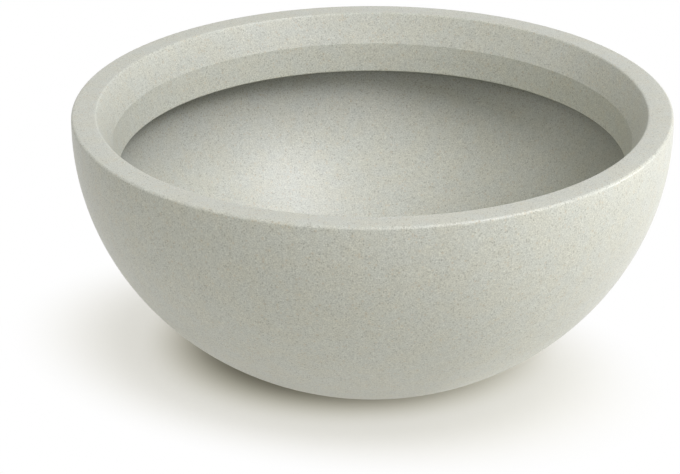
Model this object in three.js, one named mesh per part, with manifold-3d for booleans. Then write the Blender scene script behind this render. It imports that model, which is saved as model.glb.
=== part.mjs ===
// Concrete bowl planter, in millimetres, +Z up, standing on z = 0 with its axis on the Z axis.
//
// A thin cast shell carries a separately cast rim collar, bedded in mortar on a ledge inside the
// shell's mouth. The collar overhangs the bowl, so it could not be drawn from the mould as one
// piece with the shell. A flanged drain sleeve is clamped through the floor by a ring nut, holds a
// strainer in its lower end and is closed from inside by a rubber plug that lifts straight out.
// Four rubber pads let into the base keep it off the ground.

import * as THREE from 'three';
import { mergeVertices } from 'three/addons/utils/BufferGeometryUtils.js';
import Module from 'manifold-3d';

// ---- Driving dimensions -------------------------------------------------------------------------

// Bowl, outside.
const rimRadius = 250; // widest radius of the shell
const shellHeight = 230.5; // base plane to rim
const baseRadius = 79; // flat base that the pads are let into
const bulgeBelowRim = 10.25; // the widest point lies this far below the rim
const outerArris = 4; // round-over of the rim's outer edge

// Bowl, inside.
const lowerWall = 18; // wall at the bottom of the curve, if the curve went on to the axis
const floorFall = 2.5; // slope of the floor towards the drain

// Rim, counted inwards from the outside.
const mouthWall = 13.1; // shell wall beside the collar
const jointGap = 0.3; // clearance on each side of the mortar
const mortarThickness = 1.4;
const collarTopWidth = 5.7; // collar's share of the flat rim
const innerArris = 2.6; // round-over of the rim's inner edge
const splayInset = 12.5; // upper, sloping band of the collar
const splayDrop = 25.4;
const bandInset = 4.25; // lower, nearly upright band of the collar
const bandDrop = 25.5;
const lipArris = 1.2; // round-over of the collar's lower edge
const ledgeWidth = 6; // step inside the mouth that the collar stands on
const mortarSetback = 1; // mortar bed held back from the wall's face

// Drain, from the inside of the bowl downwards.
const drainBore = 15; // radius of the water way
const sleeveWall = 4.5;
const sleeveFlangeRadius = 30;
const sleeveFlangeThickness = 3;
const flangeClearance = 1; // around the flange, in its seat in the floor
const gasketThickness = 2;
const gasketSetback = 1; // gasket edge inside the flange edge
const drainWeb = 11; // concrete clamped between gasket and nut
const holeClearance = 0.5; // sleeve to the hole through the concrete
const threadClearance = 0.3; // sleeve to the nut
const nutRing = 7.2; // radial thickness of the nut
const nutHeight = 6;
const nutLugs = 6;
const nutLugHeight = 3; // how far a lug stands out
const nutLugHalfAngle = THREE.MathUtils.degToRad(11);
const wrenchRoom = 4; // around the lugs, in the recess
const sleeveTail = 1.2; // sleeve showing below the nut
const drainSetback = 0.8; // sleeve end above the base plane

// Strainer, snapped into the sleeve's lower end.
const strainerShoulder = 2; // pocket radius less the bore
const strainerClearance = 0.3;
const strainerThickness = 2.4;
const snapBead = 0.6; // bead that keeps the strainer in
const strainerHoleRadius = 1.7;
const strainerHoleRings = [
  { count: 1, radius: 0 },
  { count: 6, radius: 5.2 },
  { count: 12, radius: 10.4 },
];

// Plug.
const plugSeatFlare = 1.4; // how much wider the sleeve's mouth is than its bore
const plugSeatDepth = 9;
const plugClearance = 0.3;
const plugCapOverhang = 3; // cap radius beyond the mouth of the seat
const plugCapThickness = 3.2;
const plugCapRound = 1.2;
const gripWidth = 24;
const gripHeight = 19;
const gripThickness = 5;
const gripEyeRadius = 6.5;
const gripRoot = 1.5; // grip moulded down into the cap

// Pads.
const padCount = 4;
const padRadius = 12.5;
const padClearance = 0.3;
const padRecess = 2.5;
const padStand = 2.5; // pad showing below the base
const padChamfer = 0.8;
const firstPadAngle = THREE.MathUtils.degToRad(45);

// Smoothness of the faceted surfaces.
const bowlSegments = 80;
const fittingSegments = 36;
const padSegments = 24;
const holeSegments = 10;
const wallSteps = 13;
const arrisSteps = 3;

// ---- Dimensions worked out from them ------------------------------------------------------------

const baseZ = padStand;
const rimZ = baseZ + shellHeight;
const bulgeZ = rimZ - bulgeBelowRim;

const mouthRadius = rimRadius - mouthWall;
const mortarOuterRadius = mouthRadius - jointGap;
const mortarInnerRadius = mortarOuterRadius - mortarThickness;
const collarOuterRadius = mortarInnerRadius - jointGap;
const collarArrisRadius = collarOuterRadius - collarTopWidth;
const creaseRadius = collarArrisRadius - splayInset;
const lipRadius = creaseRadius - bandInset;
const creaseZ = rimZ - splayDrop;
const collarBottomZ = creaseZ - bandDrop;
const ledgeZ = collarBottomZ - mortarThickness;
const ledgeRadius = mouthRadius - ledgeWidth;

const nutRecessDepth = nutHeight + sleeveTail + drainSetback;
const nutSeatZ = baseZ + nutRecessDepth;
const gasketSeatZ = nutSeatZ + drainWeb;
const flangeSeatZ = gasketSeatZ + gasketThickness;
const floorZ = flangeSeatZ + sleeveFlangeThickness;

const sleeveRadius = drainBore + sleeveWall;
const sleeveBottomZ = baseZ + drainSetback;
const drainHoleRadius = sleeveRadius + holeClearance;
const flangeSeatRadius = sleeveFlangeRadius + flangeClearance;
const nutBoreRadius = sleeveRadius + threadClearance;
const nutRadius = nutBoreRadius + nutRing;
const nutRecessRadius = nutRadius + nutLugHeight + wrenchRoom;

const strainerPocketRadius = drainBore + strainerShoulder;
const strainerRadius = strainerPocketRadius - strainerClearance;
const strainerBottomZ = sleeveBottomZ + 2 * snapBead;
const strainerTopZ = strainerBottomZ + strainerThickness;

const plugSeatRadius = drainBore + plugSeatFlare;
const padPitchRadius = (nutRecessRadius + baseRadius) / 2;

// ---- Outlines -----------------------------------------------------------------------------------

// A point of a turned outline: radius from the axis, height above the ground.
const at = (radius, z) => new THREE.Vector2(radius, z);

// Points of a circular or elliptical arc in the outline's plane, first and last included.
function arc(centre, radiusAcross, radiusUp, fromAngle, toAngle, steps) {
  const points = [];
  for (let step = 0; step <= steps; step += 1) {
    const angle = THREE.MathUtils.lerp(fromAngle, toAngle, step / steps);
    points.push(at(centre.x + radiusAcross * Math.cos(angle), centre.y + radiusUp * Math.sin(angle)));
  }
  return points;
}

// The same, for an outline drawn in plan about a centre of its own.
const circleArc = (centre, radius, fromAngle, toAngle, steps) =>
  arc(centre, radius, radius, fromAngle, toAngle, steps);

// Rounds the corner between two straight stretches of an outline.
function rounded(previous, corner, next, radius, steps) {
  const back = previous.clone().sub(corner).normalize();
  const ahead = next.clone().sub(corner).normalize();
  const halfAngle = Math.acos(back.dot(ahead)) / 2;
  const inwards = back.clone().add(ahead).normalize();
  const centre = corner.clone().addScaledVector(inwards, radius / Math.sin(halfAngle));
  const start = corner.clone().addScaledVector(back, radius / Math.tan(halfAngle)).sub(centre);
  const end = corner.clone().addScaledVector(ahead, radius / Math.tan(halfAngle)).sub(centre);
  const sweep = Math.atan2(start.cross(end), start.dot(end));
  return circleArc(centre, radius, start.angle(), start.angle() + sweep, steps);
}

// A round hole through a plan outline.
const hole = (centre, radius, segments) =>
  new THREE.Path(circleArc(centre, radius, 0, 2 * Math.PI, segments).slice(1));

// The outer wall is an ellipse about the bulge that meets the base plane at baseRadius.
const outerDepth = (bulgeZ - baseZ) / Math.sqrt(1 - (baseRadius / rimRadius) ** 2);

// The inner wall is an ellipse about the same height, from the ledge down to the dished floor.
const innerDepth = outerDepth - lowerWall;
const innerRadius = ledgeRadius / Math.sqrt(1 - ((bulgeZ - ledgeZ) / innerDepth) ** 2);
const floorEdgeZ = floorZ + floorFall;

function outerWall() {
  const arris = Math.min(outerArris, mouthWall / 2);
  const bulge = at(0, bulgeZ);
  const baseAngle = -Math.asin((bulgeZ - baseZ) / outerDepth);
  const arrisAngle = Math.asin((rimZ - arris - bulgeZ) / outerDepth);
  const arrisCentre = at(rimRadius * Math.cos(arrisAngle) - arris, rimZ - arris);
  return [
    ...arc(bulge, rimRadius, outerDepth, baseAngle, 0, wallSteps),
    ...circleArc(arrisCentre, arris, 0, Math.PI / 2, arrisSteps),
  ];
}

function innerWall() {
  const ledgeAngle = -Math.asin((bulgeZ - ledgeZ) / innerDepth);
  const floorAngle = -Math.asin((bulgeZ - floorEdgeZ) / innerDepth);
  return arc(at(0, bulgeZ), innerRadius, innerDepth, ledgeAngle, floorAngle, wallSteps);
}

// ---- Solids -------------------------------------------------------------------------------------

const wasm = await Module();
wasm.setup();

// Turns a closed outline, listed anticlockwise with the axis on its left, about the Z axis.
function turned(outline, segments, closeOnItself = true) {
  const points = closeOnItself ? [...outline, outline[0]] : outline;
  return new THREE.LatheGeometry(points, segments).rotateX(Math.PI / 2);
}

// Hands a closed surface to the boolean library.
function solid(geometry) {
  const bare = geometry.clone();
  bare.deleteAttribute('normal');
  bare.deleteAttribute('uv');
  const merged = mergeVertices(bare);
  const index = merged.getIndex().array;
  const triangles = [];
  for (let first = 0; first < index.length; first += 3) {
    const [a, b, c] = index.subarray(first, first + 3);
    if (a !== b && b !== c && c !== a) {
      triangles.push(a, b, c);
    }
  }
  return new wasm.Manifold(
    new wasm.Mesh({
      numProp: 3,
      vertProperties: new Float32Array(merged.getAttribute('position').array),
      triVerts: new Uint32Array(triangles),
    }),
  );
}

// Takes a surface back from the boolean library.
function surface(manifold) {
  const { vertProperties, triVerts } = manifold.getMesh();
  const geometry = new THREE.BufferGeometry();
  geometry.setAttribute('position', new THREE.BufferAttribute(vertProperties, 3));
  geometry.setIndex(new THREE.BufferAttribute(triVerts, 1));
  geometry.computeVertexNormals();
  return geometry;
}

function bowlShell() {
  const outline = [
    at(drainHoleRadius, nutSeatZ),
    at(nutRecessRadius, nutSeatZ),
    at(nutRecessRadius, baseZ),
    ...outerWall(),
    at(mouthRadius, rimZ),
    at(mouthRadius, ledgeZ),
    ...innerWall(),
    at(flangeSeatRadius, floorZ),
    at(flangeSeatRadius, gasketSeatZ),
    at(drainHoleRadius, gasketSeatZ),
  ];
  let shell = solid(turned(outline, bowlSegments));
  for (const { x, y } of padPlaces()) {
    const recess = solid(padRecessCutter().translate(x, y, 0));
    shell = shell.subtract(recess);
  }
  return surface(shell);
}

function rimCollar() {
  const topOuter = at(collarOuterRadius, rimZ);
  const topInner = at(collarArrisRadius, rimZ);
  const crease = at(creaseRadius, creaseZ);
  const lip = at(lipRadius, collarBottomZ);
  const bottomOuter = at(collarOuterRadius, collarBottomZ);
  return turned(
    [
      bottomOuter,
      topOuter,
      ...rounded(topOuter, topInner, crease, Math.min(innerArris, collarTopWidth), arrisSteps),
      crease,
      ...rounded(crease, lip, bottomOuter, Math.min(lipArris, bandDrop), arrisSteps),
    ],
    bowlSegments,
  );
}

function collarMortar() {
  const bedRadius = ledgeRadius + mortarSetback;
  return turned(
    [
      at(bedRadius, ledgeZ),
      at(mortarOuterRadius, ledgeZ),
      at(mortarOuterRadius, rimZ),
      at(mortarInnerRadius, rimZ),
      at(mortarInnerRadius, collarBottomZ),
      at(bedRadius, collarBottomZ),
    ],
    bowlSegments,
  );
}

function drainSleeve() {
  const beadRadius = strainerPocketRadius - snapBead;
  return turned(
    [
      at(strainerPocketRadius, sleeveBottomZ),
      at(sleeveRadius, sleeveBottomZ),
      at(sleeveRadius, flangeSeatZ),
      at(sleeveFlangeRadius, flangeSeatZ),
      at(sleeveFlangeRadius, floorZ - sleeveFlangeThickness / 3),
      at(sleeveFlangeRadius - sleeveFlangeThickness / 3, floorZ),
      at(plugSeatRadius, floorZ),
      at(drainBore, floorZ - plugSeatDepth),
      at(drainBore, strainerTopZ),
      at(strainerPocketRadius, strainerTopZ),
      at(strainerPocketRadius, sleeveBottomZ + 2 * snapBead),
      at(beadRadius, sleeveBottomZ + snapBead),
    ],
    fittingSegments,
  );
}

function drainGasket() {
  return turned(
    [
      at(drainHoleRadius, gasketSeatZ),
      at(sleeveFlangeRadius - gasketSetback, gasketSeatZ),
      at(sleeveFlangeRadius - gasketSetback, flangeSeatZ),
      at(drainHoleRadius, flangeSeatZ),
    ],
    fittingSegments,
  );
}

function drainNut() {
  const axis = at(0, 0);
  const lugPitch = (2 * Math.PI) / nutLugs;
  const outline = [];
  for (let lug = 0; lug < nutLugs; lug += 1) {
    const start = lug * lugPitch - nutLugHalfAngle;
    const end = start + 2 * nutLugHalfAngle;
    outline.push(...circleArc(axis, nutRadius + nutLugHeight, start, end, arrisSteps));
    outline.push(...circleArc(axis, nutRadius, end, start + lugPitch, arrisSteps));
  }
  const nut = new THREE.Shape(outline);
  nut.holes.push(hole(axis, nutBoreRadius, fittingSegments));
  const extruded = new THREE.ExtrudeGeometry(nut, { depth: nutHeight, bevelEnabled: false });
  return extruded.translate(0, 0, nutSeatZ - nutHeight);
}

function drainStrainer() {
  const disc = new THREE.Shape(circleArc(at(0, 0), strainerRadius, 0, 2 * Math.PI, fittingSegments).slice(1));
  for (const { count, radius } of strainerHoleRings) {
    for (let place = 0; place < count; place += 1) {
      const angle = (place * 2 * Math.PI) / count;
      const centre = at(radius * Math.cos(angle), radius * Math.sin(angle));
      disc.holes.push(hole(centre, strainerHoleRadius, holeSegments));
    }
  }
  return new THREE.ExtrudeGeometry(disc, { depth: strainerThickness, bevelEnabled: false });
}

function drainPlug() {
  const capRadius = plugSeatRadius + plugCapOverhang;
  const capTopZ = floorZ + plugCapThickness;
  const capEdge = at(capRadius, floorZ);
  const capCorner = at(capRadius, capTopZ);
  const capMiddle = at(0, capTopZ);
  const round = Math.min(plugCapRound, plugCapThickness / 2);
  const stopper = turned(
    [
      at(0, floorZ - plugSeatDepth),
      at(drainBore - plugClearance, floorZ - plugSeatDepth),
      at(plugSeatRadius - plugClearance, floorZ),
      capEdge,
      ...rounded(capEdge, capCorner, capMiddle, round, arrisSteps),
      capMiddle,
    ],
    fittingSegments,
    false,
  );
  const halfWidth = gripWidth / 2;
  const crown = at(0, gripHeight - halfWidth);
  const bow = new THREE.Shape([
    at(-halfWidth, -gripRoot),
    at(halfWidth, -gripRoot),
    ...circleArc(crown, halfWidth, 0, Math.PI, fittingSegments / 2),
  ]);
  bow.holes.push(hole(crown, gripEyeRadius, fittingSegments / 2));
  const grip = new THREE.ExtrudeGeometry(bow, { depth: gripThickness, bevelEnabled: false });
  grip.translate(0, 0, -gripThickness / 2).rotateX(Math.PI / 2).translate(0, 0, capTopZ);
  return surface(solid(stopper).add(solid(grip)));
}

function padPlaces() {
  const places = [];
  for (let pad = 0; pad < padCount; pad += 1) {
    const angle = firstPadAngle + (pad * 2 * Math.PI) / padCount;
    places.push({ x: padPitchRadius * Math.cos(angle), y: padPitchRadius * Math.sin(angle) });
  }
  return places;
}

function padRecessCutter() {
  const radius = padRadius + padClearance;
  const belowBase = baseZ - padRecess;
  return turned(
    [at(0, belowBase), at(radius, belowBase), at(radius, baseZ + padRecess), at(0, baseZ + padRecess)],
    padSegments,
    false,
  );
}

function footPad() {
  return turned(
    [
      at(0, 0),
      at(padRadius - padChamfer, 0),
      at(padRadius, padChamfer),
      at(padRadius, baseZ + padRecess),
      at(0, baseZ + padRecess),
    ],
    padSegments,
    false,
  );
}

// ---- Assembly -----------------------------------------------------------------------------------

const concrete = { color: 0xcbcabf, roughness: 0.85, metalness: 0 };
const mortar = { color: 0xbdbbb0, roughness: 0.95, metalness: 0 };
const plastic = { color: 0x8b8e8a, roughness: 0.5, metalness: 0 };
const rubber = { color: 0x3b3c3b, roughness: 0.9, metalness: 0 };

function piece(name, geometry, finish, place = { x: 0, y: 0, z: 0 }) {
  const mesh = new THREE.Mesh(geometry, new THREE.MeshStandardMaterial(finish));
  mesh.name = name;
  mesh.position.set(place.x, place.y, place.z ?? 0);
  return mesh;
}

const bowl = new THREE.Group();
bowl.add(piece('bowl_shell', bowlShell(), concrete));
bowl.add(piece('rim_collar', rimCollar(), concrete));
bowl.add(piece('collar_mortar', collarMortar(), mortar));

const drain = new THREE.Group();
drain.add(piece('drain_sleeve', drainSleeve(), plastic));
drain.add(piece('drain_gasket', drainGasket(), rubber));
drain.add(piece('drain_nut', drainNut(), plastic));
drain.add(piece('drain_strainer', drainStrainer(), plastic, { x: 0, y: 0, z: strainerBottomZ }));
drain.add(piece('drain_plug', drainPlug(), rubber));

const feet = new THREE.Group();
padPlaces().forEach((place, index) => {
  feet.add(piece(`foot_pad_${index + 1}`, footPad(), rubber, place));
});

const planter = new THREE.Group();
planter.add(bowl, drain, feet);

export default planter;
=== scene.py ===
"""Concrete bowl planter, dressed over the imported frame, in a plain white studio.

Metres throughout, +Z up, the bowl's axis on the Z axis and the ground at zero. Sizes that the frame
holds are read from it; the others are the fields of each sub-assembly's class.
"""

import logging
import math
from collections.abc import Iterable, Mapping, Sequence
from dataclasses import dataclass
from enum import Enum

import bmesh
import bpy
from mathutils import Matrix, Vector


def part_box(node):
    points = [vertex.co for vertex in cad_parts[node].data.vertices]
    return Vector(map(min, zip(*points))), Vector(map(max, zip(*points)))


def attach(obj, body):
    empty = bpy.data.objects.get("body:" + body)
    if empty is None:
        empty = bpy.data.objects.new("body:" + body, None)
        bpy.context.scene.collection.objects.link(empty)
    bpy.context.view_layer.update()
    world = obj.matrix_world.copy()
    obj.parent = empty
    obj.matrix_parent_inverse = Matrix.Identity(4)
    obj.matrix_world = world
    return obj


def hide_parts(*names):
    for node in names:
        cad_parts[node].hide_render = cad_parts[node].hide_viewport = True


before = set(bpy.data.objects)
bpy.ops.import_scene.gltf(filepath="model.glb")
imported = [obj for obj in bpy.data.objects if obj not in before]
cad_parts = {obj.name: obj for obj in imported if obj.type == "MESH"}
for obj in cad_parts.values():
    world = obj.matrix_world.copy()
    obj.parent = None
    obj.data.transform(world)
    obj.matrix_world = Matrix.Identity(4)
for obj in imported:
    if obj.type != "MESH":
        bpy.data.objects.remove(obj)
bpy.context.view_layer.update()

log = logging.getLogger("planter")

Tree = bpy.types.NodeTree
Socket = bpy.types.NodeSocket
Material = bpy.types.Material
Mesh = bpy.types.Mesh
Piece = bpy.types.Object
Collection = bpy.types.Collection
Colour = tuple[float, float, float]
Place = tuple[float, float, float]
Point = tuple[float, float]
WHITE: Colour = (1.0, 1.0, 1.0)
BLACK: Colour = (0.0, 0.0, 0.0)
CRISP = 0.6  # weight of the finer octaves in a crisp texture
FULL_TURN = 2 * math.pi
CORNER_STEPS = 8  # stretches in a rounded corner of a turned outline
PLATE_EDGE_STEPS = 2  # extra points across a plate's rounded edge
ON_AXIS = 1e-6  # a station nearer the axis than this is a single point
WELD = 1e-6  # points nearer than this are one point


class Body(Enum):
    """Moving bodies of the frame."""

    PLANTER = "planter"
    PLUG = "plug"


class Slot(Enum):
    """Material slots of the record."""

    CONCRETE = "concrete"
    MORTAR = "mortar"
    PLASTIC = "grey_plastic"
    RUBBER = "dark_rubber"


class Reach(Enum):
    """What a lamp shines on."""

    BOWL = "the bowl alone"
    FLOOR = "the floor alone"


# ---- Node expressions ---------------------------------------------------------------------------


class Signal:
    """A number, colour or vector on its way through a node tree, with Python's operators on it."""

    def __init__(self, tree: Tree, socket: Socket) -> None:
        """Keeps the socket that carries the value."""
        self.tree = tree
        self.socket = socket

    @property
    def is_colour(self) -> bool:
        """Whether the socket carries a colour."""
        return self.socket.type == "RGBA"

    @property
    def is_vector(self) -> bool:
        """Whether the socket carries a vector."""
        return self.socket.type == "VECTOR"

    def __add__(self, other: "Operand") -> "Signal":
        """Sum of the two."""
        return combine("ADD", self, other)

    def __radd__(self, other: "Operand") -> "Signal":
        """Sum of the two."""
        return combine("ADD", other, self)

    def __sub__(self, other: "Operand") -> "Signal":
        """The other taken from this."""
        return combine("SUBTRACT", self, other)

    def __rsub__(self, other: "Operand") -> "Signal":
        """This taken from the other."""
        return combine("SUBTRACT", other, self)

    def __mul__(self, other: "Operand") -> "Signal":
        """Product of the two."""
        return combine("MULTIPLY", self, other)

    def __rmul__(self, other: "Operand") -> "Signal":
        """Product of the two."""
        return combine("MULTIPLY", other, self)


Operand = Signal | float | Colour | Place


def new_node(
    tree: Tree,
    kind: str,
    settings: Mapping[str, object] | None = None,
    values: Mapping[str | int, Operand] | None = None,
    output: str | int = 0,
) -> Signal:
    """Adds any node: its settings first, then the values or links of its sockets.

    Args:
        tree: Node tree to add to.
        kind: Type of node, without the ShaderNode prefix.
        settings: Properties of the node.
        values: Input socket to number, colour, vector or signal.
        output: Output socket to hand back.

    Returns:
        The chosen output as a signal.
    """
    node = tree.nodes.new("ShaderNode" + kind)
    for setting, value in (settings or {}).items():
        setattr(node, setting, value)
    for name, value in (values or {}).items():
        set_socket(tree, pick_socket(node.inputs, name), value)
    return Signal(tree, pick_socket(node.outputs, output))


def pick_socket(sockets: Iterable[Socket], name: str | int) -> Socket:
    """Finds a socket in use.

    Args:
        sockets: Inputs or outputs of a node.
        name: Its name, or its place among those in use.

    Returns:
        The socket.
    """
    in_use = [socket for socket in sockets if socket.enabled]
    if isinstance(name, int):
        return in_use[name]
    return next(socket for socket in in_use if socket.name == name)


def set_socket(tree: Tree, socket: Socket, value: Operand) -> None:
    """Links a signal to a socket, or writes a constant into it.

    Args:
        tree: Node tree that holds the socket.
        socket: Input socket.
        value: Signal, number, colour or vector.
    """
    if isinstance(value, Signal):
        tree.links.new(value.socket, socket)
    elif socket.type == "RGBA":
        red, green, blue = value if isinstance(value, tuple) else (value, value, value)
        socket.default_value = (red, green, blue, 1.0)
    elif socket.type == "VECTOR" and not isinstance(value, tuple):
        socket.default_value = (value, value, value)
    else:
        socket.default_value = value


def combine(operation: str, first: Operand, second: Operand) -> Signal:
    """Adds the node that does one sum, in the kind that keeps colours and vectors whole.

    Args:
        operation: ADD, SUBTRACT or MULTIPLY.
        first: Left operand.
        second: Right operand.

    Returns:
        The result.
    """
    signals = [operand for operand in (first, second) if isinstance(operand, Signal)]
    tree = signals[0].tree
    in_vectors = any(signal.is_vector for signal in signals)
    in_colours = any(signal.is_colour for signal in signals)
    if in_colours or (not in_vectors and (isinstance(first, tuple) or isinstance(second, tuple))):
        settings = {"data_type": "RGBA", "blend_type": operation, "clamp_result": False}
        return new_node(tree, "Mix", settings, {"Factor": 1.0, "A": first, "B": second})
    kind = "VectorMath" if in_vectors else "Math"
    return new_node(tree, kind, {"operation": operation}, {0: first, 1: second})


class Recipe:
    """Node tree of one material, with the shader that it feeds."""

    def __init__(self, name: str) -> None:
        """Starts an empty material.

        Args:
            name: Name of the material.
        """
        self.material = bpy.data.materials.new(name)
        self.material.use_nodes = True
        self.tree = self.material.node_tree
        self.shader = self.tree.nodes["Principled BSDF"]

    def node(
        self,
        kind: str,
        settings: Mapping[str, object] | None = None,
        values: Mapping[str | int, Operand] | None = None,
        output: str | int = 0,
    ) -> Signal:
        """Adds a node to this material; see new_node."""
        return new_node(self.tree, kind, settings, values, output)

    def place(self) -> Signal:
        """Position on the piece, in metres, which moves with the piece."""
        return self.node("TexCoord", output="Object")

    def noise(
        self, place: Signal, scale: float, detail: float = 2.0, roughness: float = 0.5
    ) -> Signal:
        """Cloudy noise about zero.

        Args:
            place: Position to sample at.
            scale: Cells per metre.
            detail: Octaves.
            roughness: Weight of the finer octaves.

        Returns:
            Noise with a mean of zero.
        """
        values = {"Vector": place, "Scale": scale, "Detail": detail, "Roughness": roughness}
        return self.node("TexNoise", {"noise_dimensions": "3D"}, values, "Fac") - 0.5

    def ramp(
        self, value: Signal, low: float, high: float, start: float = 0.0, end: float = 1.0
    ) -> Signal:
        """Goes smoothly from one number to another, and holds it past either end.

        Args:
            value: What the change follows.
            low: Value at which it starts.
            high: Value at which it ends.
            start: Number at the start.
            end: Number at the end.

        Returns:
            The number.
        """
        settings = {"interpolation_type": "SMOOTHSTEP", "clamp": True}
        values = {"Value": value, "From Min": low, "From Max": high, "To Min": start, "To Max": end}
        return self.node("MapRange", settings, values, "Result")

    def mix(self, factor: Operand, base: Operand, over: Operand) -> Signal:
        """Lays one colour over another by a factor."""
        settings = {"data_type": "RGBA", "blend_type": "MIX"}
        return self.node("Mix", settings, {"Factor": factor, "A": base, "B": over})

    def attribute(self, name: str) -> Signal:
        """Reads a number that the mesh carries at its points."""
        return self.node("Attribute", {"attribute_name": name}, output="Fac")

    def bump(self, height: Signal, depth: float, strength: float) -> Signal:
        """Turns a height into a tilted normal.

        Args:
            height: Height, in units of depth.
            depth: Depth that a height of one stands for, in metres.
            strength: Share of the tilt that is used.

        Returns:
            The normal.
        """
        sockets = {"Strength": strength, "Distance": depth, "Height": height}
        return self.node("Bump", None, sockets, "Normal")

    def scattered(
        self, place: Signal, scale: float, share: float, blend: float, fade: Point, channel: str
    ) -> Signal:
        """Mask of round marks, one in each of some random cells.

        Args:
            place: Position to sample at.
            scale: Cells per metre.
            share: Share of the cells that hold a mark.
            blend: Share of the cells, on either side of that, whose mark is weaker.
            fade: Distances from a cell's middle where its mark starts to fade and ends.
            channel: Which of a cell's random numbers picks it.

        Returns:
            One in a mark, zero off it.
        """
        sockets = {"Vector": place, "Scale": scale, "Randomness": 1.0}
        distance = self.node("TexVoronoi", {"feature": "F1"}, sockets, "Distance")
        cell = self.node("TexVoronoi", {"feature": "F1"}, sockets, "Color")
        chance = self.node("SeparateColor", None, {"Color": cell}, channel)
        chosen = self.ramp(chance, share + blend, share - blend)
        return self.ramp(distance, *fade, 1.0, 0.0) * chosen

    def finish(self, **sockets: Operand) -> Material:
        """Sets the shader's sockets and hands back the material.

        Args:
            sockets: Name of each socket, with _ for a space, and its number, colour or signal.

        Returns:
            The material.
        """
        for name, value in sockets.items():
            words = name.replace("_", " ")
            socket = next(s for s in self.shader.inputs if s.name.lower() == words.lower())
            set_socket(self.tree, socket, value)
        return self.material


# ---- Finishes -----------------------------------------------------------------------------------


@dataclass(frozen=True)
class Speck:
    """One kind of aggregate grain that shows at the concrete's face."""

    colour: Colour
    per_metre: float  # cells of the grain's own grid
    share: float  # share of cells that hold a grain
    radius: float  # in cells
    strength: float


@dataclass(frozen=True)
class CastConcrete:
    """Pale cast stone: grain, specks, edges lightened by wear and painted highlight, painted shade
    in the recess.
    """

    name: str = "cast_concrete"
    paste: Colour = (0.582, 0.584, 0.514)
    grain_per_metre: float = 1000.0
    grain_contrast: float = 1.12
    mottle_per_metre: float = 260.0
    mottle_detail: float = 3.0
    mottle_contrast: float = 0.16
    cloud_per_metre: float = 62.0
    cloud_edge: float = 0.18  # noise above zero that is fully warm; as far below is fully cool
    cloud_warm: Colour = (1.010, 1.0, 0.978)
    cloud_cool: Colour = (0.992, 1.001, 1.013)
    specks: tuple[Speck, ...] = (
        Speck((0.25, 0.235, 0.18), 600.0, 0.15, 0.42, 0.45),
        Speck((0.55, 0.43, 0.27), 400.0, 0.11, 0.44, 0.28),
        Speck((0.78, 0.77, 0.72), 620.0, 0.12, 0.36, 0.35),
    )
    speck_fade: Point = (0.6, 1.3)  # in the speck's radii
    speck_blend: float = 0.01
    grid_shift: Place = (0.37, 0.11, 0.53)  # metres between the grids of two kinds of speck
    # lighter rounded edges: partly wear, partly a painted highlight
    rubbed_and_highlight: Colour = (1.03, 1.03, 1.03)
    # painted shade: colour factor for the recess under the collar
    painted_shade: Colour = (0.42, 0.425, 0.44)
    roughness: float = 0.42
    roughness_spread: float = 0.12
    dust_sheen: float = 0.12
    dust_sheen_roughness: float = 0.35
    grain_depth: float = 0.00012
    relief: float = 0.5  # share of the grain's tilt that shows
    pit_per_metre: float = 190.0
    pit_share: float = 0.05
    pit_blend: float = 0.005
    pit_fade: Point = (0.03, 0.10)  # in cells
    pit_depth: float = 0.0006
    pit_shade: float = 0.4
    pit_shade_share: float = 0.5

    def material(self) -> Material:
        """Builds the finish.

        Returns:
            The material.
        """
        recipe = Recipe(self.name)
        place = recipe.place()
        grain = recipe.noise(place, self.grain_per_metre, roughness=CRISP)
        mottle = recipe.noise(place, self.mottle_per_metre, self.mottle_detail)
        cloud = recipe.noise(place, self.cloud_per_metre)
        warmth = recipe.ramp(cloud, -self.cloud_edge, self.cloud_edge)
        tint = recipe.mix(warmth, self.cloud_cool, self.cloud_warm)
        shade = 1 + grain * self.grain_contrast + mottle * self.mottle_contrast
        colour = tint * self.paste * shade
        for number, speck in enumerate(self.specks):
            colour = recipe.mix(self._grains(recipe, place, speck, number), colour, speck.colour)
        # rounded edges lighter, as wear and as a painted highlight
        colour = recipe.mix(recipe.attribute("wear_and_highlight"), colour, colour * self.rubbed_and_highlight)
        # painted shade darkens the recess under the collar and the inner wall below it
        colour = recipe.mix(recipe.attribute("painted_shade"), colour, colour * self.painted_shade)
        pits = self._pits(recipe, place)
        height = grain - pits * (self.pit_depth / self.grain_depth)
        return recipe.finish(
            base_color=recipe.mix(pits * self.pit_shade_share, colour, colour * self.pit_shade),
            roughness=self.roughness + grain * self.roughness_spread,
            sheen_weight=self.dust_sheen,
            sheen_roughness=self.dust_sheen_roughness,
            normal=recipe.bump(height, self.grain_depth, self.relief),
        )

    def _grains(self, recipe: Recipe, place: Signal, speck: Speck, number: int) -> Signal:
        """Mask of one kind of speck.

        Args:
            recipe: Material in the making.
            place: Position on the piece.
            speck: The kind of grain.
            number: Its place in the list, which shifts its grid off the others.

        Returns:
            Strength of the speck's colour, 0 where there is none.
        """
        shifted = place + tuple(step * (number + 1) for step in self.grid_shift)
        fade = (speck.radius * self.speck_fade[0], speck.radius * self.speck_fade[1])
        marks = recipe.scattered(
            shifted, speck.per_metre, speck.share, self.speck_blend, fade, "Red"
        )
        return marks * speck.strength

    def _pits(self, recipe: Recipe, place: Signal) -> Signal:
        """Mask of the few air pits that casting leaves.

        Args:
            recipe: Material in the making.
            place: Position on the piece.

        Returns:
            One in a pit, zero off it and where the piece has none.
        """
        pits = recipe.scattered(
            place, self.pit_per_metre, self.pit_share, self.pit_blend, self.pit_fade, "Green"
        )
        return pits * recipe.attribute("pitted")


@dataclass(frozen=True)
class StruckMortar(CastConcrete):
    """Joint mortar mixed from the same cement and struck flush, a little finer in its grain."""

    name: str = "struck_mortar"
    specks: tuple[Speck, ...] = (
        Speck((0.26, 0.245, 0.19), 720.0, 0.14, 0.38, 0.40),
        Speck((0.55, 0.41, 0.23), 640.0, 0.12, 0.38, 0.45),
    )
    roughness: float = 0.46


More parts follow.
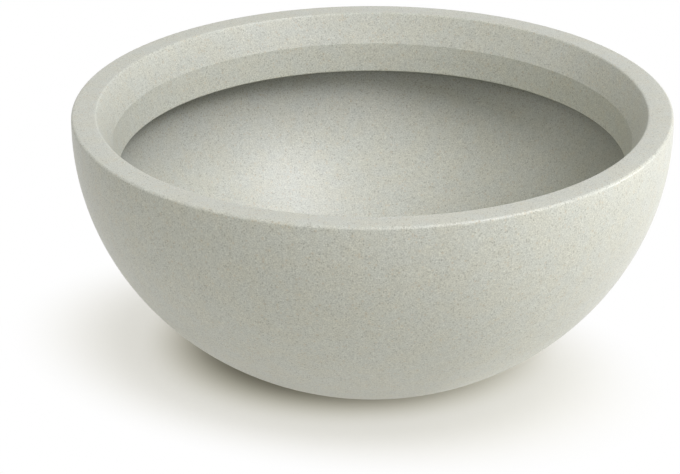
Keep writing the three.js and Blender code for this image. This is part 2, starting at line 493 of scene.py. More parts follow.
@dataclass(frozen=True)
class MouldedPlastic:
    """Grey moulded plastic with a fine spark-eroded texture and faint flow clouds."""

    name: str = "moulded_plastic"
    colour: Colour = (0.258, 0.270, 0.254)
    cloud_per_metre: float = 45.0
    cloud_detail: float = 3.0
    cloud_contrast: float = 0.16
    rubbed_and_highlight: float = 0.18  # how much lighter a rounded edge is, as wear and as a painted highlight
    texture_per_metre: float = 2600.0
    texture_depth: float = 0.00004
    relief: float = 0.5  # share of the texture's tilt that shows
    roughness: float = 0.42
    roughness_spread: float = 0.25

    def material(self) -> Material:
        """Builds the finish.

        Returns:
            The material.
        """
        recipe = Recipe(self.name)
        place = recipe.place()
        cloud = recipe.noise(place, self.cloud_per_metre, self.cloud_detail)
        texture = recipe.noise(place, self.texture_per_metre, roughness=CRISP)
        # rounded edges lighter, as wear and as a painted highlight
        shade = 1 + cloud * self.cloud_contrast + recipe.attribute("wear_and_highlight") * self.rubbed_and_highlight
        return recipe.finish(
            base_color=shade * self.colour,
            roughness=self.roughness + cloud * self.roughness_spread,
            normal=recipe.bump(texture, self.texture_depth, self.relief),
        )


@dataclass(frozen=True)
class MouldedRubber:
    """Dark matt rubber with a bloom of dust and a slightly grained face."""

    name: str = "moulded_rubber"
    colour: Colour = (0.042, 0.043, 0.042)
    bloom: Colour = (0.115, 0.112, 0.104)
    bloom_per_metre: float = 120.0
    bloom_detail: float = 4.0
    bloom_edge: Point = (-0.05, 0.25)  # noise where the bloom starts, and where it is full
    bloom_share: float = 0.35
    grain_per_metre: float = 1700.0
    grain_contrast: float = 0.4
    grain_depth: float = 0.00006
    relief: float = 0.7  # share of the grain's tilt that shows
    roughness: float = 0.72
    roughness_spread: float = 0.2
    specular: float = 0.4

    def material(self) -> Material:
        """Builds the finish.

        Returns:
            The material.
        """
        recipe = Recipe(self.name)
        place = recipe.place()
        grain = recipe.noise(place, self.grain_per_metre, roughness=CRISP)
        cloud = recipe.noise(place, self.bloom_per_metre, self.bloom_detail, CRISP)
        dust = recipe.ramp(cloud, *self.bloom_edge)
        tint = recipe.mix(dust * self.bloom_share, self.colour, self.bloom)
        return recipe.finish(
            base_color=tint * (1 + grain * self.grain_contrast),
            roughness=self.roughness + dust * self.roughness_spread,
            specular_ior_level=self.specular,
            normal=recipe.bump(grain, self.grain_depth, self.relief),
        )


@dataclass(frozen=True)
class Oval:
    """Oval round the bowl, over whose edge the floor's painted shadow turns from one shade to the
    next.
    """

    centre: Point
    half_widths: Point
    turn: float  # degrees, clockwise from above
    start: float  # where the change starts, in half-widths

    def crossed(self, recipe: Recipe, place: Signal) -> Signal:
        """Mask of what lies outside the oval.

        Args:
            recipe: Material in the making.
            place: Position on the floor.

        Returns:
            Zero up to where the change starts, one outside the oval.
        """
        across, along = self.half_widths
        sockets = {"Vector": place - (*self.centre, 0.0), "Angle": math.radians(self.turn)}
        level = recipe.node("VectorRotate", {"rotation_type": "Z_AXIS"}, sockets)
        in_widths = level * (1 / across, 1 / along, 0.0)
        distance = recipe.node("VectorMath", {"operation": "LENGTH"}, {0: in_widths}, "Value")
        return recipe.ramp(distance, self.start, 1.0)


@dataclass(frozen=True)
class StudioPaper:
    """White floor with the bowl's shadow, partly cast by the lamps and partly painted, running out
    to plain white further off.
    """

    name: str = "studio_paper"
    lit: float = 0.85  # how pale it is to the light that it throws back
    # painted shadow: the contact oval and the wider shade oval draw the floor's shadow
    contact: Oval = Oval((-0.021, 0.028), (0.189, 0.162), 6.4, 0.56)
    shade: Oval = Oval((-0.036, 0.0), (0.305, 0.205), 23.7, 0.57)
    shade_share: float = 0.39  # how much of the way to plain white lies in the outer shade
    # painted shadow: dark paper under the bowl, and warm tints glowing at the shadow's edges
    painted_shadow_under_bowl: Colour = (0.40, 0.375, 0.325)
    painted_contact_shadow_glow: Colour = (1.0, 0.945, 0.74)
    painted_shade_glow: Colour = (1.0, 0.985, 0.925)

    def material(self) -> Material:
        """Builds the finish.

        Returns:
            The material.
        """
        recipe = Recipe(self.name)
        place = recipe.place()
        seen = seen_directly(recipe.tree)
        left_contact = self.contact.crossed(recipe, place)
        left_shade = self.shade.crossed(recipe, place)
        # painted shadow: the ovals darken the paper and shape the glow that whitens the rest
        white = (left_contact * (1 - self.shade_share) + left_shade * self.shade_share) * seen
        paper = recipe.mix(left_contact, self.painted_shadow_under_bowl, WHITE)
        painted_shadow_edge_glow = recipe.mix(left_contact, self.painted_contact_shadow_glow, self.painted_shade_glow)
        glow = recipe.mix(left_shade, painted_shadow_edge_glow, WHITE)
        return recipe.finish(
            base_color=recipe.mix(seen, (self.lit,) * 3, recipe.mix(white, paper, BLACK)),
            emission_color=recipe.mix(white, BLACK, glow),
            emission_strength=1.0,
            roughness=1.0,
            specular_ior_level=0.0,
        )


def seen_directly(tree: Tree) -> Signal:
    """Tells light that the camera sees straight, in a mirror or through glass from the rest.

    Args:
        tree: Node tree to add to.

    Returns:
        One for such light, zero for the rest.
    """
    camera = new_node(tree, "LightPath", output="Is Camera Ray")
    glossy = Signal(tree, camera.socket.node.outputs["Is Glossy Ray"])
    through = Signal(tree, camera.socket.node.outputs["Is Transmission Ray"])
    settings = {"operation": "ADD", "use_clamp": True}
    return new_node(tree, "Math", settings, {0: camera + glossy, 1: through})


# ---- Outlines and meshes ------------------------------------------------------------------------


@dataclass(frozen=True)
class Station:
    """A point of a turned outline, with what the finish needs to know there."""

    radius: float
    height: float
    round: float = 0.0  # radius that the corner is rounded to
    wear_and_highlight: float = 0.0  # how far a rounded corner is made lighter at its middle, as wear and as a painted highlight
    painted_shade: float = 0.0  # how strongly painted shade darkens it, in the recess under the collar
    pitted: float = 0.0  # how many air pits show


def spread(start: float, end: float, steps: int) -> list[float]:
    """Evenly spaced numbers, both ends included."""
    return [start + (end - start) * step / steps for step in range(steps + 1)]


def polar(radius: float, angle: float) -> Point:
    """Point in plan, by its distance from the axis and its angle round it."""
    return radius * math.cos(angle), radius * math.sin(angle)


def arc(
    centre: Station, across: float, up: float, start: float, end: float, steps: int
) -> list[Station]:
    """Points of a circular or elliptical arc, ends included.

    Args:
        centre: Middle of the arc.
        across: Its radius across the axis.
        up: Its radius along the axis.
        start: First angle, from the outward direction upwards.
        end: Last angle.
        steps: Number of stretches.

    Returns:
        The stations.
    """
    return [
        Station(centre.radius + across * math.cos(angle), centre.height + up * math.sin(angle))
        for angle in spread(start, end, steps)
    ]


def softened(outline: Sequence[Station]) -> list[Station]:
    """Rounds each corner of a closed outline that asks for it.

    Args:
        outline: Closed outline.

    Returns:
        The outline with its corners rounded.
    """
    stations: list[Station] = []
    for index, corner in enumerate(outline):
        if not corner.round:
            stations.append(corner)
            continue
        here = Vector((corner.radius, corner.height))
        before, after = outline[index - 1], outline[(index + 1) % len(outline)]
        back = (Vector((before.radius, before.height)) - here).normalized()
        ahead = (Vector((after.radius, after.height)) - here).normalized()
        half = math.acos(max(-1.0, min(1.0, back.dot(ahead)))) / 2
        centre = here + (back + ahead).normalized() * corner.round / math.sin(half)
        start = here + back * corner.round / math.tan(half) - centre
        end = here + ahead * corner.round / math.tan(half) - centre
        first = math.atan2(start.y, start.x)
        sweep = math.atan2(start.x * end.y - start.y * end.x, start.dot(end))
        for step in range(CORNER_STEPS + 1):
            angle = first + sweep * step / CORNER_STEPS
            wear_and_highlight = corner.wear_and_highlight * math.sin(math.pi * step / CORNER_STEPS)
            point = centre + corner.round * Vector((math.cos(angle), math.sin(angle)))
            stations.append(Station(point.x, point.y, 0.0, wear_and_highlight, corner.painted_shade, corner.pitted))
    return stations


def turned(name: str, outline: Sequence[Station], segments: int) -> Piece:
    """Turns a closed outline about the Z axis, with its corners rounded.

    Args:
        name: Name of the piece.
        outline: Closed outline; a stretch along the axis makes no face.
        segments: Sides of the turned surface.

    Returns:
        The piece.
    """
    points: list[Place] = []
    marks: list[Station] = []
    rings: list[list[int]] = []
    for station in softened(outline):
        sides = 1 if station.radius < ON_AXIS else segments
        first = len(points)
        for side in range(sides):
            points.append((*polar(station.radius, FULL_TURN * side / segments), station.height))
            marks.append(station)
        rings.append([first + side % sides for side in range(segments)])
    faces = []
    for index, ring in enumerate(rings):
        following = rings[(index + 1) % len(rings)]
        for side in range(segments):
            turn = (side + 1) % segments
            face = dict.fromkeys((ring[side], ring[turn], following[turn], following[side]))
            if len(face) > 2:
                faces.append(tuple(face))
    mesh = bpy.data.meshes.new(name)
    mesh.from_pydata(points, [], faces)
    for mark in ("wear_and_highlight", "painted_shade", "pitted"):
        attribute = mesh.attributes.new(mark, "FLOAT", "POINT")
        attribute.data.foreach_set("value", [getattr(station, mark) for station in marks])
    return new_piece(name, tidied(mesh))


def tidied(mesh: Mesh) -> Mesh:
    """Welds a mesh and turns its faces outwards.

    Args:
        mesh: Mesh to work on.

    Returns:
        The same mesh.
    """
    work = bmesh.new()
    work.from_mesh(mesh)
    bmesh.ops.remove_doubles(work, verts=work.verts, dist=WELD)
    bmesh.ops.recalc_face_normals(work, faces=work.faces)
    work.to_mesh(mesh)
    work.free()
    return mesh


def new_piece(name: str, mesh: Mesh) -> Piece:
    """Puts a mesh into the scene.

    Args:
        name: Name of the piece.
        mesh: Its mesh.

    Returns:
        The piece.
    """
    piece = bpy.data.objects.new(name, mesh)
    bpy.context.scene.collection.objects.link(piece)
    return piece


def plate(
    name: str, loops: Sequence[Sequence[Point]], low: float, high: float, edge: float
) -> Piece:
    """Cuts a flat plate with rounded edges, from its outside loop and its holes.

    Args:
        name: Name of the piece.
        loops: Closed loops in plan, the outside one first.
        low: Height of the underside.
        high: Height of the top.
        edge: Radius of the rounded edges.

    Returns:
        The piece.
    """
    curve = bpy.data.curves.new(name + "_outline", "CURVE")
    curve.dimensions = "2D"
    curve.fill_mode = "BOTH"
    curve.extrude = (high - low) / 2 - edge
    curve.bevel_depth = edge
    curve.bevel_resolution = PLATE_EDGE_STEPS
    curve.offset = -edge
    for loop in loops:
        spline = curve.splines.new("POLY")
        spline.points.add(len(loop) - 1)
        for point, (x, y) in zip(spline.points, loop):
            point.co = (x, y, 0.0, 1.0)
        spline.use_cyclic_u = True
    draft = bpy.data.objects.new(name + "_outline", curve)
    bpy.context.scene.collection.objects.link(draft)
    mesh = evaluated_mesh(draft, name)
    bpy.data.objects.remove(draft)
    bpy.data.curves.remove(curve)
    for vertex in mesh.vertices:
        vertex.co.z += (low + high) / 2
    return new_piece(name, tidied(mesh))


def evaluated_mesh(piece: Piece, name: str) -> Mesh:
    """Freezes an object's modifiers or curve into a mesh of its own.

    Args:
        piece: The object.
        name: Name of the mesh.

    Returns:
        The mesh.
    """
    graph = bpy.context.evaluated_depsgraph_get()
    mesh = bpy.data.meshes.new_from_object(piece.evaluated_get(graph), depsgraph=graph)
    mesh.name = name
    return mesh


def apply_modifiers(piece: Piece) -> None:
    """Replaces a piece's mesh by what its modifiers make of it.

    Args:
        piece: The piece, which ends with no modifiers.
    """
    mesh = evaluated_mesh(piece, piece.name)
    piece.modifiers.clear()
    piece.data = mesh


def circle(centre: Point, radius: float, points: int) -> list[Point]:
    """Closed loop of points round a circle."""
    angles = [FULL_TURN * point / points for point in range(points)]
    return [(centre[0] + radius * math.cos(a), centre[1] + radius * math.sin(a)) for a in angles]


def dress(
    piece: Piece,
    material: Material,
    body: Body,
    nodes: Sequence[str],
    crease: float = 12.0,
) -> Piece:
    """Gives a finished piece its shading, finish and place in the frame.

    Args:
        piece: The piece, in place.
        material: Its finish.
        body: Body that it moves with.
        nodes: CAD nodes that it stands for.
        crease: Edges sharper than this many degrees stay crisp.

    Returns:
        The same piece.
    """
    piece.data.shade_smooth()
    piece.data.set_sharp_from_angle(angle=math.radians(crease))
    piece.data.materials.clear()
    piece.data.materials.append(material)
    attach(piece, body.value)
    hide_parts(*nodes)
    axes = zip(*(vertex.co for vertex in piece.data.vertices))
    size = " x ".join(f"{(max(axis) - min(axis)) * 1000:.1f}" for axis in axes)
    log.info("%s: %d faces, %s mm, %s", piece.name, len(piece.data.polygons), size, material.name)
    return piece


# ---- Bowl ---------------------------------------------------------------------------------------


@dataclass(frozen=True)
class Bowl:
    """Cast shell, the rim collar bedded inside its mouth, and the mortar between them."""

    segments: int = 320
    base_radius: float = 0.079
    base_edge: float = 0.008
    bulge_below_rim: float = 0.01025
    outer_arris: float = 0.0026
    lower_wall: float = 0.018
    floor_fall: float = 0.0025
    mouth_wall: float = 0.0131
    ledge_width: float = 0.006
    collar_top_width: float = 0.0057
    inner_arris: float = 0.0026
    splay_inset: float = 0.0125
    splay_drop: float = 0.0254
    band_inset: float = 0.00425
    crease_round: float = 0.0008
    lip_arris: float = 0.0012
    mortar_setback: float = 0.001
    drain_hole_radius: float = 0.020
    flange_seat_radius: float = 0.031
    nut_recess_radius: float = 0.034
    cast_edge: float = 0.0008
    pad_clearance: float = 0.0003
    wall_steps: int = 96
    painted_shade_reach: float = 0.55  # share of the hollow's depth that the painted shade reaches down
    painted_shade_fade: float = 1.5  # power that the painted shade fades by
    dish_reach: float = 0.013  # from the floor's edge outwards, the width of its soft corner
    dish_round: float = 0.05
    concrete: CastConcrete = CastConcrete()
    mortar: StruckMortar = StruckMortar()

    @property
    def rim(self) -> Vector:
        """Outer radius and height of the rim, as the frame has them."""
        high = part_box("bowl_shell")[1]
        return Vector((high.x, high.z))

    def build(self) -> list[Piece]:
        """Makes and dresses the three pieces.

        Returns:
            The pieces.
        """
        concrete = self.concrete.material()
        mortar = self.mortar.material()
        return [
            dress(self.shell(), concrete, Body.PLANTER, ["bowl_shell"]),
            dress(self.collar(), concrete, Body.PLANTER, ["rim_collar"]),
            dress(self.mortar_bed(), mortar, Body.PLANTER, ["collar_mortar"]),
        ]

    def shell(self) -> Piece:
        """Turns the shell and sinks the pads' recesses into its base.

        Returns:
            The shell.
        """
        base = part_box("bowl_shell")[0].z
        rim_radius, rim = self.rim
        bulge = Station(0.0, rim - self.bulge_below_rim)
        outer_depth = (bulge.height - base) / math.sqrt(1 - (self.base_radius / rim_radius) ** 2)
        base_angle = -math.asin((bulge.height - base) / outer_depth)
        arris_angle = math.asin((rim - self.outer_arris - bulge.height) / outer_depth)
        wall = arc(bulge, rim_radius, outer_depth, base_angle, 0.0, self.wall_steps)
        wall[0] = Station(wall[0].radius, wall[0].height, self.base_edge, pitted=1.0)
        lip = Station(rim_radius * math.cos(arris_angle), rim)
        nut_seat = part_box("drain_nut")[1].z
        gasket_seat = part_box("drain_gasket")[0].z
        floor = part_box("drain_sleeve")[1].z
        mouth = rim_radius - self.mouth_wall
        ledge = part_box("collar_mortar")[0].z
        outline = [
            Station(self.drain_hole_radius, nut_seat, pitted=1.0),
            Station(self.nut_recess_radius, nut_seat, self.cast_edge, pitted=1.0),
            Station(self.nut_recess_radius, base, self.cast_edge, 1.0, pitted=1.0),
            *wall,
            Station(lip.radius, lip.height, self.outer_arris, 1.0),
            Station(mouth, rim),
            Station(mouth, ledge, painted_shade=1.0),
            *self.inner_wall(mouth - self.ledge_width, ledge, floor, outer_depth, bulge),
            Station(self.flange_seat_radius, floor, self.cast_edge, 1.0),
            Station(self.flange_seat_radius, gasket_seat),
            Station(self.drain_hole_radius, gasket_seat),
        ]
        shell = turned("bowl_shell_cast", outline, self.segments)
        self.sink_pad_recesses(shell)
        return shell

    def inner_wall(
        self, radius: float, ledge: float, floor: float, outer_depth: float, bulge: Station
    ) -> list[Station]:
        """Inside of the bowl from the ledge down to the dished floor.

        Args:
            radius: Radius of the wall at the ledge.
            ledge: Height of the ledge.
            floor: Height of the floor at the drain.
            outer_depth: Depth of the outer wall's ellipse.
            bulge: Middle of both ellipses.

        Returns:
            The stations, from the ledge down.
        """
        depth = outer_depth - self.lower_wall
        across = radius / math.sqrt(1 - ((bulge.height - ledge) / depth) ** 2)
        start = -math.asin((bulge.height - ledge) / depth)
        end = -math.asin((bulge.height - floor - self.floor_fall) / depth)
        stations = []
        for station in arc(bulge, across, depth, start, end, self.wall_steps):
            # painted shade, darkest at the ledge and fading down the inner wall
            down = (ledge - station.height) / (ledge - floor)
            painted_shade = max(0.0, 1.0 - down / self.painted_shade_reach) ** self.painted_shade_fade
            stations.append(Station(station.radius, station.height, painted_shade=painted_shade))
        corner = stations.pop()
        kept = [station for station in stations if station.radius > corner.radius + self.dish_reach]
        return [*kept, Station(corner.radius, corner.height, self.dish_round)]

    def sink_pad_recesses(self, shell: Piece) -> None:
        """Cuts the round recesses that the pads sit in.

        Args:
            shell: The shell to cut.
        """
        for pad in range(FootPads.count):
            low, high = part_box(FootPads.node(pad))
            middle = (low + high) / 2
            radius = (high.x - low.x) / 2 + self.pad_clearance
            outline = [
                Station(0.0, low.z),
                Station(radius, low.z),
                Station(radius, high.z),
                Station(0.0, high.z),
            ]
            cutter = turned("recess_cutter", outline, FootPads.segments)
            cutter.location = (middle.x, middle.y, 0.0)
            cut = shell.modifiers.new("recess", "BOOLEAN")
            cut.operation = "DIFFERENCE"
            cut.solver = "EXACT"
            cut.object = cutter
            apply_modifiers(shell)
            bpy.data.objects.remove(cutter)

    def collar(self) -> Piece:
        """Turns the stepped collar.

        Returns:
            The collar.
        """
        low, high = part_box("rim_collar")
        arris = high.x - self.collar_top_width
        crease = arris - self.splay_inset
        outline = [
            Station(high.x, low.z, painted_shade=1.0),
            Station(high.x, high.z),
            Station(arris, high.z, self.inner_arris, 1.0),
            Station(crease, high.z - self.splay_drop, self.crease_round),
            Station(crease - self.band_inset, low.z, self.lip_arris, 1.0),
        ]
        return turned("rim_collar_cast", outline, self.segments)

    def mortar_bed(self) -> Piece:
        """Turns the mortar, which fills the joint and is struck flush with the rim.

        Returns:
            The mortar.
        """
        low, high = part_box("collar_mortar")
        collar_low, collar_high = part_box("rim_collar")
        mouth = self.rim.x - self.mouth_wall
        bed = mouth - self.ledge_width + self.mortar_setback
        outline = [
            Station(bed, low.z, painted_shade=1.0),
            Station(mouth, low.z),
            Station(mouth, high.z),
            Station(collar_high.x, high.z),
            Station(collar_high.x, collar_low.z),
            Station(bed, collar_low.z, painted_shade=1.0),
        ]
        return turned("collar_mortar_bed", outline, self.segments)


# ---- Drain --------------------------------------------------------------------------------------


@dataclass(frozen=True)
class DrainFitting:
    """Flanged sleeve with its gasket, ring nut and strainer, and the plug that closes it."""

    segments: int = 96
    bore: float = 0.015
    sleeve_radius: float = 0.0195
    pocket_radius: float = 0.017
    snap_bead: float = 0.0006
    snap_round: float = 0.0002
    seat_flare: float = 0.0014
    seat_depth: float = 0.009
    flange_thickness: float = 0.003
    flange_round: float = 0.001
    thread_pitch: float = 0.0015
    thread_depth: float = 0.0004
    moulded_edge: float = 0.0005
    gasket_bulge: float = 0.0006
    nut_bore: float = 0.0198
    nut_radius: float = 0.027
    nut_lugs: int = 6
    nut_lug_height: float = 0.003
    nut_lug_half_angle: float = math.radians(11.0)
    nut_edge: float = 0.0007
    hole_radius: float = 0.0017
    hole_rings: tuple[tuple[int, float], ...] = ((1, 0.0), (6, 0.0052), (12, 0.0104))
    hole_segments: int = 24
    strainer_edge: float = 0.0004
    plug_clearance: float = 0.0003
    cap_overhang: float = 0.003
    cap_thickness: float = 0.0032
    cap_round: float = 0.0012
    grip_width: float = 0.024
    grip_thickness: float = 0.005
    grip_eye: float = 0.0065
    grip_edge: float = 0.0013
    grip_root: float = 0.0015
    grip_points: int = 48
    moulding_grid: float = 0.00045
    root_softening: float = 0.5
    root_passes: int = 5
    turned_crease: float = 25.0  # degrees, as the next two
    cut_crease: float = 30.0
    plug_crease: float = 60.0
    plastic: MouldedPlastic = MouldedPlastic()
    rubber: MouldedRubber = MouldedRubber()

    def build(self) -> list[Piece]:
        """Makes and dresses the five pieces.

        Returns:
            The pieces.
        """
        plastic, rubber = self.plastic.material(), self.rubber.material()
        still, turned_crease, cut_crease = Body.PLANTER, self.turned_crease, self.cut_crease
        return [
            dress(self.sleeve(), plastic, still, ["drain_sleeve"], turned_crease),
            dress(self.gasket(), rubber, still, ["drain_gasket"], turned_crease),
            dress(self.nut(), plastic, still, ["drain_nut"], cut_crease),
            dress(self.strainer(), plastic, still, ["drain_strainer"], cut_crease),
            dress(self.plug(), rubber, Body.PLUG, ["drain_plug"], self.plug_crease),
        ]

    def sleeve(self) -> Piece:
        """Turns the sleeve, with its flange, plug seat, snap bead and the rings of its thread.

        Returns:
            The sleeve.
        """
        low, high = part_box("drain_sleeve")
        flange_seat = high.z - self.flange_thickness
        strainer_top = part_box("drain_strainer")[1].z
        nut_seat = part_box("drain_nut")[1].z
        edge = self.moulded_edge
        thread = []
        height = low.z + self.thread_pitch / 2
        while height < nut_seat - self.thread_pitch:
            thread += [
                Station(self.sleeve_radius, height),
                Station(self.sleeve_radius - self.thread_depth, height + self.thread_pitch / 2),
            ]
            height += self.thread_pitch
        outline = [
            Station(self.pocket_radius, low.z, edge / 2),
            Station(self.sleeve_radius, low.z, edge / 2),
            *thread,
            Station(self.sleeve_radius, nut_seat),
            Station(self.sleeve_radius, flange_seat),
            Station(high.x, flange_seat, edge),
            Station(high.x, high.z, self.flange_round, 1.0),
            Station(self.bore + self.seat_flare, high.z, edge, 1.0),
            Station(self.bore, high.z - self.seat_depth),
            Station(self.bore, strainer_top),
            Station(self.pocket_radius, strainer_top),
            Station(self.pocket_radius, low.z + 2 * self.snap_bead),
            Station(self.pocket_radius - self.snap_bead, low.z + self.snap_bead, self.snap_round),
        ]
        return turned("drain_sleeve_moulding", outline, self.segments)

    def gasket(self) -> Piece:
        """Turns the gasket, squeezed a little proud at its rim.

        Returns:
            The gasket.
        """
        low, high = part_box("drain_gasket")
        bulge = arc(
            Station(high.x - self.gasket_bulge, (low.z + high.z) / 2),
            self.gasket_bulge,
            (high.z - low.z) / 2,
            -math.pi / 2,
            math.pi / 2,
            CORNER_STEPS,
        )
        outline = [Station(self.sleeve_radius, low.z), *bulge, Station(self.sleeve_radius, high.z)]
        return turned("drain_gasket_washer", outline, self.segments)

    def nut(self) -> Piece:
        """Cuts the ring nut with its lugs.

        Returns:
            The nut.
        """
        low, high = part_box("drain_nut")
        pitch = FULL_TURN / self.nut_lugs
        outside = []
        for lug in range(self.nut_lugs):
            start = lug * pitch - self.nut_lug_half_angle
            end = start + 2 * self.nut_lug_half_angle
            outside += self.swept(self.nut_radius + self.nut_lug_height, start, end)
            outside += self.swept(self.nut_radius, end, start + pitch)
        bore = circle((0.0, 0.0), self.nut_bore, self.segments)
        return plate("drain_nut_moulding", [outside, bore], low.z, high.z, self.nut_edge)

    def swept(self, radius: float, start: float, end: float) -> list[Point]:
        """Points in plan of an arc about the axis."""
        steps = round((end - start) * self.segments / FULL_TURN)
        return [polar(radius, angle) for angle in spread(start, end, steps)]

    def strainer(self) -> Piece:
        """Cuts the perforated disc.

        Returns:
            The strainer.
        """
        low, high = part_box("drain_strainer")
        loops = [circle((0.0, 0.0), high.x, self.segments)]
        for count, ring in self.hole_rings:
            for place in range(count):
                centre = polar(ring, FULL_TURN * place / count)
                loops.append(circle(centre, self.hole_radius, self.hole_segments))
        return plate("drain_strainer_disc", loops, low.z, high.z, self.strainer_edge)

    def plug(self) -> Piece:
        """Moulds the stopper and its grip into one body with soft roots.

        Returns:
            The plug.
        """
        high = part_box("drain_plug")[1]
        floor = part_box("drain_sleeve")[1].z
        cap_top = floor + self.cap_thickness
        cap_radius = self.bore + self.seat_flare + self.cap_overhang
        foot = floor - self.seat_depth
        outline = [
            Station(0.0, foot),
            Station(self.bore - self.plug_clearance, foot, self.moulded_edge),
            Station(self.bore + self.seat_flare - self.plug_clearance, floor),
            Station(cap_radius, floor, self.moulded_edge),
            Station(cap_radius, cap_top, self.cap_round),
            Station(0.0, cap_top),
        ]
        stopper = turned("drain_plug_moulding", outline, self.segments)
        grip = self.grip(cap_top, high.z)
        union = stopper.modifiers.new("grip", "BOOLEAN")
        union.operation = "UNION"
        union.solver = "EXACT"
        union.object = grip
        remesh = stopper.modifiers.new("moulding", "REMESH")
        remesh.mode = "VOXEL"
        remesh.voxel_size = self.moulding_grid
        smooth = stopper.modifiers.new("soft_root", "SMOOTH")
        smooth.factor = self.root_softening
        smooth.iterations = self.root_passes
        apply_modifiers(stopper)
        bpy.data.objects.remove(grip)
        return stopper

    def grip(self, cap_top: float, top: float) -> Piece:
        """Cuts the upright grip with its finger eye.

        Args:
            cap_top: Height of the cap's face.
            top: Height of the grip's crown.

        Returns:
            The grip, standing across the Y axis.
        """
        half = self.grip_width / 2
        face = self.grip_thickness / 2
        crown = top - half
        outside = [(-half, cap_top - self.grip_root), (half, cap_top - self.grip_root)]
        for angle in spread(0.0, math.pi, self.grip_points):
            outside.append((half * math.cos(angle), crown + half * math.sin(angle)))
        eye = circle((0.0, crown), self.grip_eye, self.grip_points)
        grip = plate("grip", [outside, eye], -face, face, self.grip_edge)
        for vertex in grip.data.vertices:
            x, up, across = vertex.co
            vertex.co = (x, -across, up)
        grip.data.update()
        return grip


# ---- Foot pads ----------------------------------------------------------------------------------


@dataclass(frozen=True)
class FootPads:
    """Rubber pads let into the base, with a ringed tread."""

    count: int = 4
    segments: int = 64
    chamfer: float = 0.0008
    groove_depth: float = 0.0006
    grooves: tuple[tuple[float, float], ...] = ((0.0030, 0.0042), (0.0070, 0.0082))
    groove_draft: float = 0.0002
    crease: float = 25.0  # degrees
    rubber: MouldedRubber = MouldedRubber(name="pad_rubber", bloom_per_metre=260.0)

    @staticmethod
    def node(pad: int) -> str:
        """Name of a pad's CAD node."""
        return f"foot_pad_{pad + 1}"

    def build(self) -> list[Piece]:
        """Makes and dresses every pad.

        Returns:
            The pads.
        """
        rubber = self.rubber.material()
        return [
            dress(self.pad(pad), rubber, Body.PLANTER, [self.node(pad)], self.crease)
            for pad in range(self.count)
        ]

    def pad(self, number: int) -> Piece:
        """Turns one pad and sets it in its recess.

        Args:
            number: Which pad, from zero.

        Returns:
            The pad.
        """
        low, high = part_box(self.node(number))
        radius = (high.x - low.x) / 2
        tread = [Station(0.0, low.z)]
        for inner, outer in self.grooves:
            tread += [
                Station(inner, low.z),
                Station(inner + self.groove_draft, low.z + self.groove_depth),
                Station(outer - self.groove_draft, low.z + self.groove_depth),
                Station(outer, low.z),
            ]
        outline = [
            *tread,
            Station(radius, low.z, self.chamfer),
            Station(radius, high.z, self.chamfer / 2),
            Station(0.0, high.z),
        ]
        pad = turned(self.node(number) + "_moulding", outline, self.segments)
        for vertex in pad.data.vertices:
            vertex.co.x += (low.x + high.x) / 2
            vertex.co.y += (low.y + high.y) / 2
        return pad


# ---- Studio -------------------------------------------------------------------------------------


@dataclass(frozen=True)
class Lamp:
    """A round softbox aimed at the bowl."""

    name: str
    azimuth: float  # degrees round the bowl, 0 on the camera's side and 90 on the right
    elevation: float  # degrees above the ground
    watts: float
    diameter: float = 1.4
    distance: float = 3.0
    colour: Colour = WHITE
    reach: Reach = Reach.BOWL


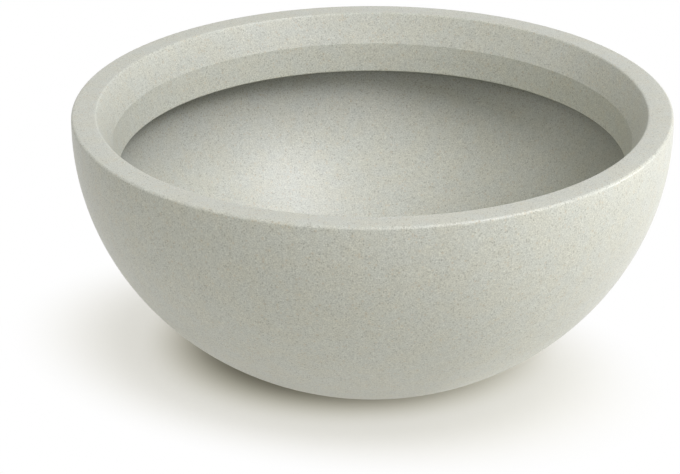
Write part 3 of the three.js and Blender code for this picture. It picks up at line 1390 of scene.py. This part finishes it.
@dataclass(frozen=True)
class Studio:
    """White floor, soft sky and softboxes."""

    floor_radius: float = 12.0
    floor_sides: int = 64
    sky: float = 0.23
    sky_colour: Colour = (1.0, 1.0, 0.88)
    aim: Place = (0.0, 0.0, 0.12)
    lamps: tuple[Lamp, ...] = (
        Lamp("key", 57.0, 50.0, 182.0, 3.2, 6.0, (0.985, 0.995, 1.06)),
        Lamp("top", 66.0, 64.0, 90.0, 3.6, 6.0, (0.985, 0.995, 1.06)),
        Lamp("front", 5.0, 26.0, 13.0, 1.2),
        Lamp("left", 270.0, 26.0, 8.5, 1.2),
        Lamp("right", 99.0, 1.0, 44.0, 0.5),
        Lamp("bounce", 0.0, -90.0, 0.07, 0.36, 0.1195),
        Lamp("floor", 37.0, 72.0, 70.0, 2.6, reach=Reach.FLOOR),
    )
    paper: StudioPaper = StudioPaper()

    def build(self, pieces: Sequence[Piece]) -> None:
        """Lays the floor, sets the sky and hangs the lamps.

        Args:
            pieces: Everything that the bowl's own lamps shine on.
        """
        self.floor()
        self.world()
        bowl_alone = bpy.data.collections.new("bowl_alone")
        for piece in pieces:
            bowl_alone.objects.link(piece)
        floor_alone = bpy.data.collections.new("floor_alone")
        floor_alone.objects.link(bpy.data.objects["studio_floor"])
        lit = {Reach.BOWL: bowl_alone, Reach.FLOOR: floor_alone}
        for lamp in self.lamps:
            self.hang(lamp, lit[lamp.reach])

    def floor(self) -> None:
        """Lays the floor as one round sheet at ground level."""
        mesh = bpy.data.meshes.new("studio_floor")
        rim = [(x, y, 0.0) for x, y in circle((0.0, 0.0), self.floor_radius, self.floor_sides)]
        mesh.from_pydata(rim, [], [tuple(range(len(rim)))])
        mesh.materials.append(self.paper.material())
        new_piece("studio_floor", mesh)

    def world(self) -> None:
        """Lights the bowl evenly from all round, and shows plain white behind it."""
        world = bpy.data.worlds.new("studio_sky")
        world.use_nodes = True
        tree = world.node_tree
        light = Signal(tree, tree.nodes["Background"].outputs["Background"])
        set_socket(tree, tree.nodes["Background"].inputs["Color"], self.sky_colour)
        set_socket(tree, tree.nodes["Background"].inputs["Strength"], self.sky)
        white = new_node(tree, "Background", None, {"Color": WHITE, "Strength": 1.0})
        surface = new_node(tree, "MixShader", None, {0: seen_directly(tree), 1: light, 2: white})
        tree.links.new(surface.socket, tree.nodes["World Output"].inputs["Surface"])
        bpy.context.scene.world = world

    def hang(self, lamp: Lamp, lit: Collection) -> None:
        """Hangs one softbox and turns it to the bowl.

        Args:
            lamp: The softbox.
            lit: What it shines on.
        """
        light = bpy.data.lights.new(lamp.name, "AREA")
        light.shape = "DISK"
        light.size = lamp.diameter
        light.energy = lamp.watts
        light.color = lamp.colour
        azimuth, elevation = math.radians(lamp.azimuth), math.radians(lamp.elevation)
        level = math.cos(elevation)
        right, back = math.sin(azimuth) * level, -math.cos(azimuth) * level
        towards = Vector((right, back, math.sin(elevation)))
        box = bpy.data.objects.new(lamp.name, light)
        box.location = Vector(self.aim) + towards * lamp.distance
        box.rotation_euler = (-towards).to_track_quat("-Z", "Y").to_euler()
        box.visible_camera = False
        box.light_linking.receiver_collection = lit
        bpy.context.scene.collection.objects.link(box)


@dataclass(frozen=True)
class PhotoCamera:
    """Camera at the photograph's angle, placed by the bowl's rim."""

    elevation: float = 23.96  # degrees
    distance: float = 8.62  # in rim radii
    aim_below_rim: float = 0.4  # in rim radii
    focal_pixels: float = 2537.0
    width: float = 680.0
    height: float = 474.0
    centre_pixel: tuple[float, float] = (372.45, 214.1)
    sensor: float = 36.0

    def place(self) -> None:
        """Places the camera and makes it the scene's."""
        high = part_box("bowl_shell")[1]
        radius = high.x
        camera = bpy.data.cameras.new("photo_camera")
        camera.sensor_width = self.sensor
        camera.lens = self.sensor * self.focal_pixels / self.width
        camera.shift_x = (self.width / 2 - self.centre_pixel[0]) / self.width
        camera.shift_y = (self.centre_pixel[1] - self.height / 2) / self.width
        angle = math.radians(self.elevation)
        back = Vector((0.0, -math.cos(angle), math.sin(angle)))
        aim = Vector((0.0, 0.0, high.z - self.aim_below_rim * radius))
        stand = bpy.data.objects.new("photo_camera", camera)
        stand.location = aim + back * self.distance * radius
        stand.rotation_euler = (-back).to_track_quat("-Z", "Y").to_euler()
        bpy.context.scene.collection.objects.link(stand)
        bpy.context.scene.camera = stand


def main() -> None:
    """Builds the camera, the studio and the planter's sub-assemblies in order."""
    logging.basicConfig(level=logging.INFO, format="%(message)s")
    bpy.context.scene.view_settings.view_transform = "Standard"
    PhotoCamera().place()
    pieces = [*Bowl().build(), *DrainFitting().build(), *FootPads().build()]
    Studio().build(pieces)


if __name__ == "__main__":
    main()
